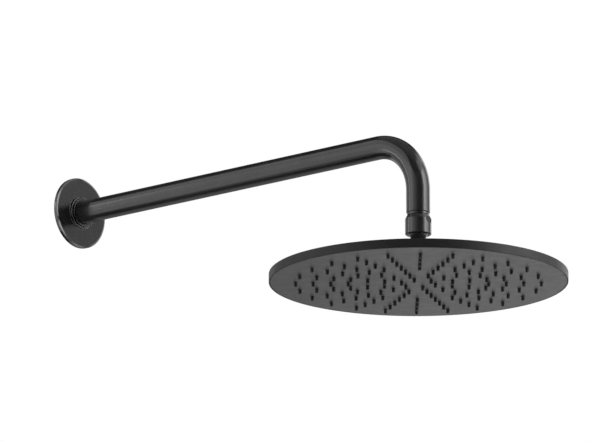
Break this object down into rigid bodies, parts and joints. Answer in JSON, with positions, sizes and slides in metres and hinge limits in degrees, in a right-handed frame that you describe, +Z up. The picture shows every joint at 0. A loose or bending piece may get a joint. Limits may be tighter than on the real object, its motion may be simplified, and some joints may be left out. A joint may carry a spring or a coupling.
{
  "type": "wall mounted rain shower",
  "caption": "Round rain shower head on a ball joint under a bent wall arm, with a sliding round wall flange and a male pipe thread at the wall.",
  "frame": {"origin": "the arm's axis at the finished wall", "axes": "+Y into the wall along the pipe thread, the arm runs out along -Y, +Z up, head hanging level"},
  "size_m": [0.3, 0.643, 0.1899],
  "materials": {
    "black_metal": "satin black coating on brass",
    "head_shell": "satin black coating on stainless steel",
    "spray_face": "matt dark grey coating on stainless steel",
    "seal_rubber": "matt EPDM rubber",
    "silicone": "black silicone, slightly shiny",
    "acetal": "white acetal",
    "ptfe": "white PTFE",
    "restrictor_plastic": "moulded plastic",
    "backing_plastic": "moulded plastic",
    "stainless": "bare stainless steel",
    "brass": "machined brass"
  },
  "bodies": {
    "arm": {"arm_tube": "black_metal", "inlet_tail": "black_metal", "outlet_nipple": "black_metal", "flow_restrictor": "restrictor_plastic", "filter_washer": "seal_rubber", "filter_screen": "stainless", "swivel_nut": "black_metal", "upper_ball_seat": "acetal", "seat_o_ring": "seal_rubber"},
    "flange_grip": {"flange_o_ring": "seal_rubber"},
    "flange": {"wall_flange": "black_metal", "wall_seal": "seal_rubber"},
    "socket_ring": {"friction_ring": "ptfe"},
    "stem": {"ball_stem": "black_metal", "stem_washer": "ptfe", "stem_o_ring": "seal_rubber", "stem_nut": "brass"},
    "head": {"hub_boss": "black_metal", "hub_gasket": "seal_rubber", "hub_ring_nut": "black_metal", "top_shell": "head_shell", "rim_gasket": "silicone", "spacer_pillars": "stainless", "backing_plate": "backing_plastic", "clamp_nuts": "stainless", "nozzle_mat": "silicone", "spray_plate": "spray_face"}
  },
  "joints": [
    {"name": "flange_slide", "type": "slide", "parent": "arm", "child": "flange_grip", "axis": [0, -1, 0], "range_m": [0, 0.4]},
    {"name": "flange_turn", "type": "hinge", "parent": "flange_grip", "child": "flange", "pos_m": [0, 0, 0], "axis": [0, 1, 0], "continuous": true},
    {"name": "head_pitch", "type": "hinge", "parent": "arm", "child": "socket_ring", "pos_m": [0, -0.47, -0.0959], "axis": [1, 0, 0], "range_deg": [-15, 15]},
    {"name": "head_roll", "type": "hinge", "parent": "socket_ring", "child": "stem", "pos_m": [0, -0.47, -0.0959], "axis": [0, 1, 0], "range_deg": [-15, 15]},
    {"name": "head_spin", "type": "hinge", "parent": "stem", "child": "head", "pos_m": [0, -0.47, -0.125], "axis": [0, 0, 1], "continuous": true}
  ]
}
